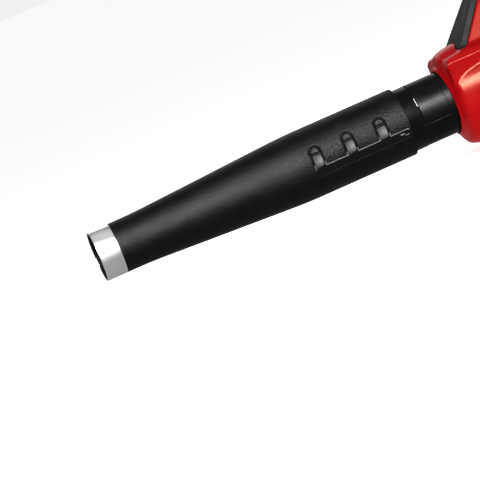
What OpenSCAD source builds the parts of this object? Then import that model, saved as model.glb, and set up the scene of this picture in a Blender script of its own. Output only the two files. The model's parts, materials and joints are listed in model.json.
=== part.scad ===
// Cordless axial leaf blower with a telescopic blow tube.
// While a piece is drawn, X runs along the blow tube, from the nozzle (-X) to the battery (+X),
// x = 0 is the front lip of the motor housing and z = 0 is the tube's axis. place() then stands
// the assembly on its feet at z = 0, centred over the origin. The user's left is the -Y side.

/* [Blow tube] */
// Outside diameter of the nozzle's tip
tip_d = 68.6; // [56:0.2:84]
// Length of the outer nozzle tube
nozzle_len = 443; // [360:1:560]
// Wall of the nozzle's rear part, where the lock channel is
nozzle_wall = 3.5; // [3:0.1:5]
// Outside diameter of the inner telescopic tube
inner_d = 86; // [70:0.2:104]
// Length of inner tube that shows between the nozzle and the housing
gap_len = 64; // [50:1:90]
// Wall of the tubes
tube_wall = 2.4; // [1.8:0.1:3]
// Length of the metal ring on the tip
ring_len = 29; // [15:0.5:40]
// Distance between two lock positions of the nozzle
notch_pitch = 46.5; // [36:0.5:56]
// Turn of the nozzle that locks it, in degrees
lock_turn = 35; // [28:1:42]

/* [Motor housing] */
// Space between the fan duct and the outside of the barrel
barrel_space = 21.1; // [17:0.1:30]
// Wall of the housing shells
shell = 2.6; // [2:0.1:4]
// Height of the rubber feet below the barrel
foot_h = 7; // [4:0.5:20]

/* [Handle] */
// Height of the opening for the hand
hand_h = 44; // [36:1:60]
// Length of the grip over that opening
hand_len = 88; // [75:1:110]
// Height of the grip's cross-section
grip_h = 36; // [34:0.5:44]
// Half width of the grip
grip_half = 20; // [18:0.5:25]
// Thickness of the soft cover
cover_t = 2.4; // [1.5:0.1:3.5]

/* [Fan and motor] */
// Inside diameter of the fan duct
duct_d = 99; // [88:1:120]
// Number of fan blades
blade_count = 11; // [5:1:13]
// Number of stator vanes
vane_count = 9; // [5:1:13]
// Axial length of the fan
fan_len = 28; // [20:1:36]
// Diameter of the motor's can
motor_d = 45; // [37:0.5:46]
// Length of the motor's can
motor_len = 46; // [44:0.5:60]
// Diameter of the motor's shaft
shaft_d = 5; // [4:0.1:6.5]

/* [Battery] */
// Diameter of one cell
cell_d = 18.4; // [18:0.1:22]
// Length of one cell
cell_len = 65; // [60:1:78]
// Number of cells in a row
cell_count = 5; // [4:1:6]

/* [Hidden] */
$fn = 72;

// Clearances
seat = 0.2;         // round a part that drops into a seat
slide = 0.6;        // round a part that slides in a slot
run = 0.4;          // between the two blow tubes
seal_run = 0.08;    // between the seal and the tube that it wipes
bore_run = 0.06;    // between a pin or shaft and its bore
deg = 180 / PI;

// Blow tube
tip_r = tip_d / 2;
inner_r = inner_d / 2;
bore_r = inner_r + run;
nozzle_r = bore_r + nozzle_wall;
nozzle_rear = -gap_len;
tip_x = nozzle_rear - nozzle_len;
ring_t = 0.8;
taper_start = ring_len + 16;        // distances from the tip
taper_len = nozzle_len - 185;
blend = 0.15;                       // share of the taper that eases in and out
bore_start = taper_start + taper_len * (1 - blend);
finger_half = 7;                    // half width of a lock finger
finger_first = 38;                  // from the nozzle's rear end to the last finger
lug_x = nozzle_rear - finger_first - 2 * notch_pitch;
lug_r = 5.2;
lug_el = -16;                       // elevations are degrees above the -Y side
finger_el = lug_el + lock_turn;
band_half = 7;                      // half height of the long channel, in degrees
comb_lip = 1.1;
comb_lip_h = 0.5;
comb_sink = 0.8;
comb_end = nozzle_rear - 5;
band_step = 0.3;                    // the band starts this much behind the first finger's front wall
groove = 1.9;
inner_front = lug_x - 22;
seal_w = 5;
seal_x = inner_front + 6;
seal_in = inner_r - 1.2;

// Spigot between the inner tube and the fan duct
seam_x = nozzle_rear + 18;
plug_len = 26;
plug_r = inner_r - tube_wall;
flow_r = plug_r - 2.1;
spigot_r = inner_r - 0.4;
spigot_rear = 46;
flange_r = spigot_r + 7.5;
flange_w = 8;
panel_low = -16;

// Fan, motor and duct, from the front to the rear
duct_r = duct_d / 2;
duct_wall = 2.4;
duct_out = duct_r + duct_wall;
duct_front = spigot_rear + 0.5;
hub_x = duct_front + 37.5;
hub_r = motor_d / 2 + 4.5;
hub_in = hub_r - 2.4;
vane_x = hub_x + 8;
vane_len = 36;
can_x = vane_x + 6;
can_rear = can_x + motor_len;
hub_rear = can_rear - 4;
fan_x = can_rear + 10;
fan_rear = fan_x + fan_len;
duct_rear = fan_rear + 6;
bell_len = 28;
bell_rear = duct_rear + bell_len;
bell_flare = 13.5;
barrel_r = duct_out + barrel_space;
barrel_rear = bell_rear + 24;
motor_r = motor_d / 2;
shaft_r = shaft_d / 2;
bearing_r = 8;
bearing_w = 5;
can_wall = 1.6;
winding_r = motor_r - 1.7;
magnet_r = 12.3;
lead_x = can_x + 17;                // middle of the slot that the motor's leads come up through
damper_xs = [hub_x + 4, duct_rear - 18];
damper_w = 8;
damper_r = duct_out + 6;

// Housing
collar_r = inner_r + 0.6;
collar_t = 3;
lip_x = 12;
sweep_r = 528;                      // plan radius of the front lip
rear_rim = 4.5;
foot_half = 38;
ground = -(barrel_r - 1 + foot_h);
deck_z = barrel_r + 3;
grip_low = deck_z + hand_h;
top_z = grip_low + grip_h;
skin = cover_t + shell;

// Handle: a front column that leans back, a grip and a rear column over the battery's bridge
column_angle = 50.2;
lean = [cos(column_angle), sin(column_angle)];
base = [33, barrel_r - 14];
column_depth = 32;
function column_x(z, depth) = base[0] + (z - base[1]) * lean[0] / lean[1] + depth / lean[1];
open_front = column_x(grip_low, column_depth);
open_rear = open_front + hand_len;
bay_x = open_rear + 34;
// Place in the front column: s along it from the base, d deep behind its front face
function in_column(s, d) = base + s * lean + d * [lean[1], -lean[0]];

// Controls
pin_r = 2;
trigger_at = [open_front + 12.5, grip_low + 9];
trigger_half = 7;
trigger_turn = 8;
dial_at = [open_front - 7.5, top_z - 14];
dial_r = 12;
dial_half = 5;
turbo_x = open_front + 24;
turbo_r = 6;
turbo_flange_z = top_z - skin - 0.6;
switch_x = open_front + 40;
switch_top = top_z - 12;
control_half = grip_half - 10;

// Battery
case_wall = 2.2;
cell_gap = 1.1;
cell_pitch = cell_d + cell_gap;
pack_x = bay_x + 2;
cells_x = pack_x + 8.5;
pack_len = 8.5 + cell_count * cell_pitch + 8;
pack_end = pack_x + pack_len;
pack_half = cell_len / 2 + 5.5;
pack_low = deck_z;
cells_top = pack_low + case_wall + 0.8 + 2 * cell_pitch;
pack_top = cells_top + 16;
case_split = pack_low + case_wall + cell_pitch + 8;
rail = [24.6, 29.6];                // half widths of the rail's neck and head
rail_h = 4.6;                       // height of each
bridge_low = pack_top + 1;
rail_top = pack_top + 2 * rail_h;
slot_top = rail_top + slide;
bridge_end = pack_end - 6;
bridge_half = pack_half + 1;
rail_x = [pack_x + 4, bridge_end - 6];
catch_x = pack_x + 55;
button_half = 13.5;
button_z = [cells_top + 2.5, pack_top - case_wall - 0.6];
button_travel = 3;
blade_y = 10;
blade_z = [cells_top + 4, pack_top - 4];

x_mid = (tip_x + pack_end) / 2;
module place() { translate([-x_mid, 0, -ground]) children(); }

// ---------- helpers ----------
// Full turn about the tube's axis of an outline given as [x, r] points
module turn(pts) { rotate([0, 90, 0]) rotate_extrude() polygon([for (p = pts) [p[1], p[0]]]); }
// Part of a turn, from elevation e1 to e2
module turn_part(pts, e1, e2) {
    rotate([0, 90, 0]) rotate([0, 0, -(90 + e2)])
        rotate_extrude(angle = e2 - e1) polygon([for (p = pts) [p[1], p[0]]]);
}
function rect(x1, x2, r1, r2) = [[x1, r1], [x2, r1], [x2, r2], [x1, r2]];
module tube(x1, x2, r1, r2) { turn(rect(x1, x2, r1, r2)); }
module disc(x1, x2, r) { translate([x1, 0, 0]) rotate([0, 90, 0]) cylinder(h = x2 - x1, r = r); }
module radial(x, el, r1, r2, r) {
    translate([x, 0, 0]) rotate([90 - el, 0, 0]) translate([0, 0, r1]) cylinder(h = r2 - r1, r = r);
}
module around(count) { for (i = [0:count - 1]) rotate([360 * i / count, 0, 0]) children(); }
// Outlines pulled along Y, centred, and along X
module side(half) { rotate([90, 0, 0]) linear_extrude(height = 2 * half, center = true) children(); }
module cross(x1, x2) { translate([x1, 0, 0]) rotate([90, 0, 90]) linear_extrude(height = x2 - x1) children(); }
module box(x, y, z) { translate([x[0], y[0], z[0]]) cube([x[1] - x[0], y[1] - y[0], z[1] - z[0]]); }
module middle_box(x, half, z) { box(x, [-half, half], z); }
module y_pin(at, half, r) { translate([at[0], half, at[1]]) rotate([90, 0, 0]) cylinder(h = 2 * half, r = r, $fn = 40); }
module y_hole_pair(at, y1, y2, r) {
    for (s = [0, 1]) mirror([0, s, 0]) translate([at[0], y2, at[1]]) rotate([90, 0, 0]) cylinder(h = y2 - y1, r = r, $fn = 40);
}
function both_sides(pts) = concat(pts, [for (i = [len(pts) - 1:-1:0]) [-pts[i][0], pts[i][1]]]);
module in_column_frame() { translate([base[0], 0, base[1]]) rotate([0, -column_angle, 0]) children(); }

// Insulated lead through a list of points: one ring of corners at each point, mitred at the bends
function unit(v) = v / norm(v);
module lead(pts, r) {
    sides = 8;
    last = len(pts) - 1;
    rings = [for (i = [0:last])
        let (before = unit(pts[max(i, 1)] - pts[max(i, 1) - 1]), after = unit(pts[min(i, last - 1) + 1] - pts[min(i, last - 1)]),
             along = unit(before + after), u = unit(cross([0, 1, 0], along)), v = cross(along, u),
             mitre = 1 / max(0.5, before * along))
        for (k = [0:sides - 1]) let (a = 360 * (k + 0.5) / sides) pts[i] + r * (mitre * cos(a) * u + sin(a) * v)];
    walls = [for (i = [0:last - 1]) for (k = [0:sides - 1])
        let (a = i * sides + k, b = i * sides + (k + 1) % sides)
        each [[a, b, b + sides], [a, b + sides, a + sides]]];
    ends = [[for (k = [sides - 1:-1:0]) k], [for (k = [0:sides - 1]) last * sides + k]];
    polyhedron(points = rings, faces = [for (f = concat(walls, ends)) [for (i = [len(f) - 1:-1:0]) f[i]]]);
}
// Coil spring along Z, from z = 0 to h
module spring(r, wire, h, turns) {
    sides = 6;
    steps = turns * 10;
    rise = h - 2 * wire;
    pts = [for (i = [0:steps]) for (k = [0:sides - 1])
        let (a = 360 * turns * i / steps, b = 360 * k / sides, q = r + wire * cos(b))
        [q * cos(a), q * sin(a), wire + rise * i / steps + wire * sin(b)]];
    skin_faces = [for (i = [0:steps - 1]) for (k = [0:sides - 1])
        let (a = i * sides + k, b = i * sides + (k + 1) % sides)
        each [[b + sides, b, a], [a + sides, b + sides, a]]];
    end = steps * sides;
    caps = [[for (k = [0:sides - 1]) k], [for (k = [sides - 1:-1:0]) end + k]];
    polyhedron(points = pts, faces = concat(skin_faces, caps));
}

// ---------- blow tube ----------
// Rise from 0 to 1 with eased ends
function ease(t) = let (w = 2 * blend * (1 - blend))
    t <= 0 ? 0 : t >= 1 ? 1 : t < blend ? t * t / w
    : t <= 1 - blend ? (t - blend / 2) / (1 - blend) : 1 - (1 - t) * (1 - t) / w;
function nozzle_out(d) = tip_r + (nozzle_r - tip_r) * ease((d - taper_start) / taper_len);
taper_d = [for (t = concat([for (i = [0:4]) blend * i / 4], [for (i = [0:4]) 1 - blend + blend * i / 4]))
    taper_start + taper_len * t];

// The three fingers as prisms that point out along the middle of their travel, trimmed by the caller
module fingers(half, r) {
    mid_el = (lug_el + finger_el) / 2;
    foot_y = -r * sin(lock_turn / 2);
    top_y = r * sin(lock_turn / 2);
    for (i = [0:2]) translate([lug_x + i * notch_pitch, 0, 0]) rotate([90 - mid_el, 0, 0])
        linear_extrude(height = r + 8) polygon(concat([[-half, foot_y], [half, foot_y]],
            [for (a = [0:15:180]) [half * cos(a), top_y + half * sin(a)]]));
}
// Outline of the comb-shaped lock channel, as a solid between two radii
module comb(r1, r2, grow) {
    x1 = lug_x - finger_half - grow;
    a = band_half + grow / nozzle_r * deg;
    intersection() {
        tube(x1 - 1, nozzle_rear - 0.5, r1, r2);
        union() {
            turn_part(rect(x1 + band_step, comb_end + grow, r1 - 1, r2 + 1), lug_el - a, lug_el + a);
            fingers(finger_half + grow, nozzle_r);
        }
    }
}
// Groove inside the nozzle that the lug runs in, open at the nozzle's rear end
module lug_groove() {
    half = lug_r + slide;
    a = half / bore_r * deg;
    intersection() {
        tube(lug_x - 20, nozzle_rear + 1, bore_r - 1, bore_r + groove);
        union() {
            turn_part(rect(lug_x - half + band_step, nozzle_rear + 1, bore_r - 2, bore_r + 4),
                lug_el - a, lug_el + a);
            fingers(half, bore_r + groove);
        }
    }
}
// Raised pad and click ridge in each finger
module finger_marks() {
    ridge = finger_half - 0.5;
    for (i = [0:2]) {
        x = lug_x + i * notch_pitch;
        intersection() {
            tube(x - 10, x + 10, nozzle_r - comb_sink - 0.4, nozzle_r - 0.1);
            radial(x, finger_el, nozzle_r - 6, nozzle_r + 2, finger_half - 1.3);
            turn_part(rect(x - 10, x + 10, nozzle_r - 5, nozzle_r + 2), finger_el - 4, finger_el + 12);
        }
        turn_part([[x - ridge, nozzle_r - comb_sink - 0.4], [x + ridge, nozzle_r - comb_sink - 0.4],
            [x + ridge - 1.2, nozzle_r], [x - ridge + 1.2, nozzle_r]], finger_el - 16, finger_el - 7);
    }
}
module nozzle_tube() {
    nose_r = tip_r - ring_t - 0.05;
    color("#17171a") {
        difference() {
            union() {
                turn(concat(
                    [[tip_x + ring_t + 0.1, nose_r], [tip_x + ring_len + 0.2, nose_r], [tip_x + ring_len + 0.2, tip_r]],
                    [for (d = taper_d) [tip_x + d, nozzle_out(d)]],
                    [[nozzle_rear - 0.9, nozzle_r], [nozzle_rear, nozzle_r - 0.9], [nozzle_rear, bore_r + 0.6],
                     [nozzle_rear - 0.6, bore_r], [tip_x + bore_start, bore_r]],
                    [for (i = [4:-1:0]) [tip_x + taper_d[i], nozzle_out(taper_d[i]) - tube_wall]],
                    [[tip_x + ring_t + 0.1, tip_r - tube_wall]]));
                comb(nozzle_r - 0.4, nozzle_r + comb_lip_h, comb_lip);
            }
            comb(nozzle_r - comb_sink, nozzle_r + comb_lip_h + 1, 0);
            lug_groove();
        }
        finger_marks();
    }
}
module nozzle_ring() {
    flange = tip_r - tube_wall + 0.3;
    color("#c9c9c9") turn([
        [tip_x, flange], [tip_x, tip_r - 0.5], [tip_x + 0.5, tip_r], [tip_x + ring_len, tip_r],
        [tip_x + ring_len, tip_r - ring_t], [tip_x + ring_t, tip_r - ring_t], [tip_x + ring_t, flange]]);
}
module tube_seal() {
    color("#2b2b2d") tube(seal_x + seat, seal_x + seal_w - seat, seal_in + seal_run, bore_r - seal_run);
}
module inner_tube() {
    wall_r = inner_r - tube_wall + 0.2;
    color("#1b1b1e") {
        turn([[inner_front, wall_r], [inner_front, inner_r - 0.8], [inner_front + 0.8, inner_r],
            [seal_x, inner_r], [seal_x, seal_in], [seal_x + seal_w, seal_in], [seal_x + seal_w, inner_r],
            [seam_x, inner_r], [seam_x, plug_r - 0.1], [seam_x + plug_len, plug_r - 0.1],
            [seam_x + plug_len, flow_r], [seam_x - 6, flow_r], [seam_x - 12, wall_r]]);
        intersection() {
            radial(lug_x, lug_el, inner_r - 1.4, bore_r + 6, lug_r);
            tube(lug_x - 9, lug_x + 9, inner_r - 1, bore_r + groove - 0.4);
        }
    }
}
module outlet_spigot() {
    x1 = seam_x + 0.3;
    step = seam_x + plug_len + 2;
    color("#1b1b1e") {
        turn([[x1, plug_r], [x1, spigot_r], [spigot_rear - flange_w, spigot_r],
            [spigot_rear - flange_w, flange_r], [spigot_rear, flange_r], [spigot_rear, flow_r],
            [step, flow_r], [step, plug_r]]);
        turn_part(rect(x1 + 0.9, -6, spigot_r - 0.8, inner_r + 0.1), panel_low, 180 - panel_low);
    }
}

// ---------- housing ----------
barrel_line = [
    [0, collar_r + 0.4], [1.2, collar_r + 3.4], [4, collar_r + 6], [6.8, barrel_r - 16.3],
    [10, barrel_r - 11], [14, barrel_r - 8.6], [20, barrel_r - 6.8], [29, barrel_r - 5],
    [60, barrel_r - 2.2], [110, barrel_r - 0.4], [150, barrel_r],
    [barrel_rear - 8, barrel_r - 0.6], [barrel_rear, barrel_r - 2]];
module barrel_solid() { turn(concat([[0, 0]], barrel_line, [[barrel_rear, 0]])); }

// Front and top line of the handle, side view
nose = in_column((top_z - 20 - base[1]) / lean[1], 0);
top_line = [nose, nose + [8, 7.5], nose + [16, 13.2], nose + [26, 17], nose + [40, 19.3], nose + [54, 20]];
module handle_outline() {
    polygon(concat([[8, barrel_r - 53], [8, barrel_r - 23], [12, barrel_r - 17], base], top_line,
        [[bay_x, top_z], [bay_x, deck_z - 1.5], [barrel_rear, deck_z - 1.5], [barrel_rear, barrel_r - 53]]));
}
module handle_section() {
    polygon(both_sides([[60, barrel_r - 53], [60, barrel_r - 23], [56, barrel_r - 16], [43, barrel_r - 10],
        [grip_half + 7, deck_z + 30], [grip_half, grip_low + 2], [grip_half, top_z - 10],
        [grip_half - 2.5, top_z - 4], [grip_half - 8, top_z], [1, top_z + 2]]));
}
module opening_outline() {
    offset(r = 6, $fn = 32) offset(delta = -6) polygon([
        [column_x(deck_z, column_depth), deck_z], [open_front, grip_low], [open_rear, grip_low],
        [open_rear, deck_z]]);
}
module bridge_plan() {
    polygon([[open_rear - 14, grip_half], [open_rear, grip_half + 1.5], [bay_x, bridge_half],
        [bridge_end, bridge_half], [bridge_end, -bridge_half], [bay_x, -bridge_half],
        [open_rear, -grip_half - 1.5], [open_rear - 14, -grip_half]]);
}
module bridge_side() {
    polygon([[open_rear - 14, deck_z - 1.5], [open_rear - 14, top_z - 10], [bay_x - 12, top_z], [bay_x + 50, top_z],
        [bridge_end - 6, top_z - 3], [bridge_end, top_z - 8], [bridge_end, bridge_low],
        [bay_x, bridge_low], [bay_x, deck_z - 1.5]]);
}
// The handle's whole outside, thinned by inset; the bridge is added by rear_solid()
module handle_solid(inset) {
    difference() {
        intersection() {
            side(90) offset(delta = -inset) handle_outline();
            cross(0, bay_x) offset(delta = -inset) handle_section();
        }
        side(90) offset(delta = inset) opening_outline();
    }
}
module rear_solid() {
    difference() {
        intersection() {
            translate([0, 0, deck_z - 10]) linear_extrude(height = top_z) bridge_plan();
            side(90) bridge_side();
        }
        side(90) opening_outline();
    }
}
module rear_cavity() {
    roof = slot_top + 3.4;
    difference() {
        intersection() {
            translate([0, 0, deck_z - 10]) linear_extrude(height = top_z) offset(delta = -skin) bridge_plan();
            side(90) polygon([[open_rear - 12, deck_z + 2], [open_rear - 12, top_z - skin], [bay_x + 50, top_z - skin],
                [bridge_end - 9, top_z - skin - 3], [bridge_end - 9, roof], [bay_x - shell, roof],
                [bay_x - shell, deck_z + 2]]);
        }
        side(90) offset(delta = skin) opening_outline();
    }
}
// Region of the handle that the soft cover takes: the front face, a strip on each side, and the top
module cover_zone() {
    strip = base + [14, 3];
    side(90) polygon([base + [-40, 0], base + [-8, 0], strip, strip + (top_z - 22 - strip[1]) / lean[1] * lean,
        nose + [26, 3], [open_rear, top_z - 17], [bay_x - 14, top_z - 8], [bay_x - 14, top_z + 10],
        [20, top_z + 10]]);
}
module cover_layer(grow) {
    difference() {
        intersection() {
            handle_solid(-grow);
            cover_zone();
        }
        handle_solid(cover_t);
    }
}

screw_r = 2;
boss_r = 4.6;
screw_at = [
    [27, 57], [27, -57], [bell_rear - 10, 10 - barrel_r], [bell_rear - 10, barrel_r - 10],
    [fan_x - 12, barrel_r - 10], [fan_x - 12, 10 - barrel_r], in_column(85, 13),
    [open_rear + 13, top_z - 14], [open_rear + 12, deck_z + 11]];
screw_len = 16;                     // to each side of the middle plane
module barrel_cavity() {
    inside = [for (p = barrel_line) if (p[0] > 15 && p[0] < barrel_rear - 4) [p[0], p[1] - shell]];
    turn(concat([[10, 0], [10, barrel_r - 18], [15, barrel_r - 12]], inside,
        [[barrel_rear - 4, barrel_r - rear_rim], [barrel_rear + 1, barrel_r - rear_rim], [barrel_rear + 1, 0]]));
}
// Ribs that hold the spigot, the duct's dampers, the bell and the control board
module ribs() {
    tube(-1, spigot_rear - flange_w - seat, collar_r, collar_r + collar_t);
    tube(spigot_rear + seat, spigot_rear + 2.6, flow_r + duct_wall + 2.5, barrel_r);
    for (x = damper_xs) {
        tube(x - 2.4, x - seat, duct_out + 1.4, barrel_r);
        tube(x + damper_w + seat, x + damper_w + 2.4, duct_out + 1.4, barrel_r);
        tube(x - 1, x + damper_w + 1, damper_r + 0.1, damper_r + 2.6);
    }
    tube(bell_rear - 4.4, bell_rear - 2.2, duct_r + bell_flare + 3, barrel_r);
    for (x = [barrel_rear - 17, barrel_rear - 10.8]) tube(x, x + 1.8, barrel_r - 4.4, barrel_r);
    in_column_frame() for (s = [22, 58]) for (d = [13.2, 17.2]) for (m = [0, 1])
        mirror([0, m, 0]) box([s, s + 8], [15, 60], [-d - 1.8, -d + seat]);
}
module lead_gap() { middle_box([hub_x - 6, hub_x + 18], 8, [duct_out + 0.5, barrel_r - 4.2]); }
module pin_bosses() {
    y_hole_pair(trigger_at, trigger_half + 1, grip_half, 4.5);
    y_hole_pair(dial_at, dial_half + 0.8, grip_half, 4.5);
}
module rail_slot() {
    middle_box([bay_x - eps, bridge_end + 1], rail[0] + slide, [bridge_low - 1, pack_top + rail_h]);
    middle_box([bay_x - eps, bridge_end + 1], rail[1] + slide, [pack_top + rail_h - slide, slot_top]);
    middle_box([catch_x - 7, catch_x + 7], 9, [slot_top - 1, slot_top + 2.4]);
}
eps = 0.01;
module control_holes() {
    middle_box([trigger_at[0] - 5.4, trigger_at[0] + 26], trigger_half + slide, [grip_low - 4, grip_low + 8]);
    middle_box([dial_at[0] - dial_r - 1, dial_at[0] + dial_r + 1], dial_half + slide, [dial_at[1] - 9, top_z + 5]);
    translate([turbo_x, 0, turbo_flange_z]) cylinder(h = 20, r = turbo_r + 0.4);
}
module outer_solid() {
    barrel_solid();
    handle_solid(0);
    rear_solid();
}
module housing_body() {
    difference() {
        intersection() {
            union() {
                difference() {
                    outer_solid();
                    barrel_cavity();
                    handle_solid(skin);
                    rear_cavity();
                }
                intersection() {
                    union() {
                        difference() {
                            ribs();
                            lead_gap();
                        }
                        for (p = screw_at) y_pin(p, 60, boss_r);
                        pin_bosses();
                    }
                    outer_solid();
                }
            }
            // the front lip sweeps back towards both sides
            translate([sweep_r, 0, -200]) cylinder(h = 500, r = sweep_r, $fn = 120);
        }
        disc(-10, lip_x, collar_r);
        cover_layer(1);
        rail_slot();
        control_holes();
        y_pin(trigger_at, 13, pin_r);
        y_pin(dial_at, 13, pin_r);
        housing_screw_solids();
        for (p = screw_at) translate([p[0], screw_len, p[1]]) rotate([-90, 0, 0])
            cylinder(h = 80, r = 3.9, $fn = 40);
        middle_box([bay_x - 6, bay_x + 1], blade_y + 7, blade_z + [-2, 2]);
    }
}
module housing_left() { color("#a8221f") intersection() { housing_body(); box([-20, 600], [-200, 0], [-200, 300]); } }
module housing_right() { color("#a8221f") intersection() { housing_body(); box([-20, 600], [0, 200], [-200, 300]); } }
module housing_screw_solids() {
    for (p = screw_at) translate([p[0], 0, p[1]]) rotate([-90, 0, 0]) {
        translate([0, 0, -screw_len + 3]) cylinder(h = 2 * screw_len - 3, r = screw_r);
        translate([0, 0, screw_len - 2.6]) cylinder(h = 2.6, r = 3.7);
    }
}
module housing_screws() {
    color("#55565a") difference() {
        housing_screw_solids();
        for (p = screw_at) translate([p[0], screw_len + 1, p[1]]) rotate([90, 0, 0])
            cylinder(h = 2.6, r = 1.9, $fn = 6);
    }
}
module handle_cover() {
    color("#232326") difference() {
        cover_layer(0);
        control_holes();
    }
}
module foot(x1, x2) {
    color("#1e1e20") difference() {
        cross(x1, x2) polygon(both_sides([[foot_half, ground], [foot_half, ground + 4], [foot_half - 4, ground + 14],
            [foot_half - 6, ground + 30]]));
        barrel_solid();
    }
}
module foot_front() { foot(40, 70); }
module foot_rear() { foot(fan_x + 6, fan_x + 36); }

// ---------- air path ----------
grille_line = [[barrel_rear + 4, barrel_r - 1.6], [barrel_rear + 8, barrel_r - 3.4], [barrel_rear + 16, barrel_r - 10],
    [barrel_rear + 22, barrel_r - 19], [barrel_rear + 25, barrel_r - 32]];
module intake_grille() {
    wall = 2.4;
    out_r = barrel_r - rear_rim - seat;
    x0 = barrel_rear - 20;
    color("#202022") difference() {
        union() {
            turn(concat([[x0, out_r - wall], [x0, out_r], [barrel_rear + seat, out_r],
                [barrel_rear + seat, barrel_r - 1.6]], grille_line, [[barrel_rear + 26, 0], [barrel_rear + 26 - wall, 0]],
                [for (i = [4:-1:0]) grille_line[i] - [wall, wall * 0.8]], [[barrel_rear + 1, out_r - wall]]));
            tube(barrel_rear - 14.8, barrel_rear - 11.2, out_r - 0.5, barrel_r - shell - 0.9);
        }
        around(36) rotate([5, 0, 0]) for (band = [[24, 40], [43, barrel_r - 8]])
            middle_box([barrel_rear + 1.5, barrel_rear + 40], 1.7, band);
    }
}
module inlet_bell() {
    wall = 2;
    steps = 7;
    flare = [for (i = [0:steps]) let (a = 90 * i / steps)
        [duct_rear + bell_len * sin(a), duct_r + bell_flare * (1 - cos(a))]];
    color("#2a2a2d") turn(concat(flare, [
        [bell_rear, duct_r + bell_flare + 4.4], [bell_rear - 2, duct_r + bell_flare + 4.4],
        [bell_rear - 2, duct_r + bell_flare - 1]],
        [for (i = [5:-1:1]) flare[i] + [-0.6, wall]],
        [[duct_rear + seat, duct_out + 0.2], [duct_rear - 5, duct_out + 0.2], [duct_rear - 5, duct_out + 0.06],
         [duct_rear, duct_out + 0.06]]));
}
module fan_duct() {
    color("#2a2a2d") difference() {
        turn([[duct_front, flow_r], [hub_x, duct_r], [duct_rear, duct_r], [duct_rear, duct_out],
            [hub_x, duct_out], [duct_front, flow_r + duct_wall]]);
        lead_slot();
    }
}
module lead_slot() { middle_box([lead_x - 5, lead_x + 5], 1.8, [motor_r - 4, duct_out + 4]); }
module damper(x) { color("#3a3a3c") tube(x, x + damper_w, duct_out, damper_r); }
module damper_front() { damper(damper_xs[0]); }
module damper_rear() { damper(damper_xs[1]); }

// Cambered plate: outline of a blade, from its front edge to its rear edge
function blade_outline(length, t, camber) = let (n = 6) concat(
    [for (i = [0:n]) [length * i / n, camber * sin(180 * i / n)]],
    [for (i = [n:-1:0]) [length * i / n, camber * sin(180 * i / n) + t * (0.35 + 0.65 * sin(180 * i / n))]]);
module stator() {
    ring_out = duct_r - 0.1;
    ring_in = ring_out - 2.2;
    color("#2e2e31") difference() {
        union() {
            tube(hub_x, hub_rear, hub_in, hub_r);
            tube(vane_x - 2, vane_x + vane_len + 2, ring_in, ring_out);
            disc(can_x - 3, can_x - 0.1, hub_in + 1);
            intersection() {
                around(vane_count) translate([vane_x, 0, 0]) rotate([0, 0, 14])
                    linear_extrude(height = duct_r) polygon(blade_outline(vane_len, 1.8, 4));
                tube(vane_x - 1, vane_x + vane_len + 1, hub_r - 1, ring_in + 1);
            }
            middle_box([lead_x - 9, lead_x + 9], 3.3, [hub_r - 0.6, ring_in + 0.8]);
        }
        lead_slot();
        around(4) disc_hole(14, 1.6);
        around(4) rotate([45, 0, 0]) disc_hole(14, 4);
    }
}
module disc_hole(r, hole) { translate([can_x - 4, 0, r]) rotate([0, 90, 0]) cylinder(h = 5, r = hole); }
module tail_cone() {
    length = hub_x - 0.3 - 30;
    color("#2e2e31") difference() {
        turn(concat([[30, 0]], [for (a = [10:10:90]) [30 + length * (1 - cos(a)), hub_r * sin(a)]],
            [[30 + length, hub_in - 0.1], [hub_x + 6, hub_in - 0.1], [hub_x + 6, 0]]));
        turn(concat([[34, 0]], [for (a = [20:14:90]) [34 + (length - 4) * (1 - cos(a)), (hub_in - 2.2) * sin(a)]],
            [[hub_x + 7, hub_in - 2.2], [hub_x + 7, 0]]));
    }
}
module fan_rotor() {
    color("#38383c") {
        tube(fan_x, fan_rear, hub_in, hub_r);
        tube(fan_x + 16, fan_x + 20, shaft_r + 2, hub_in + 0.5);
        tube(fan_x + 2, fan_rear + 1, shaft_r, shaft_r + 5);
        intersection() {
            around(blade_count) translate([fan_x, 0, 0]) rotate([0, 0, -38])
                translate([1, 0, 0]) linear_extrude(height = duct_r) polygon(blade_outline(fan_len / 0.79 - 2, 1.9, 3.5));
            tube(fan_x + 0.2, fan_rear - 0.2, hub_r - 1, duct_r - 0.7);
        }
    }
}
module spinner() {
    x0 = fan_rear + 0.1;
    dome = 22;
    color("#2e2e31") difference() {
        turn(concat([[x0 - 4, 0], [x0 - 4, hub_in - 0.1], [x0, hub_in - 0.1], [x0, hub_r]],
            [for (a = [15:15:90]) [x0 + dome * sin(a), hub_r * cos(a)]]));
        disc(x0 - 5, x0 + 9, hub_in - 3);
    }
}
module fan_nut() {
    color("#b9bbbe") difference() {
        disc_hex(fan_rear + 1.1, fan_rear + 5, shaft_r + 3);
        disc(fan_rear, fan_rear + 6, shaft_r);
    }
}
module disc_hex(x1, x2, r) { translate([x1, 0, 0]) rotate([0, 90, 0]) cylinder(h = x2 - x1, r = r, $fn = 6); }

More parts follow.
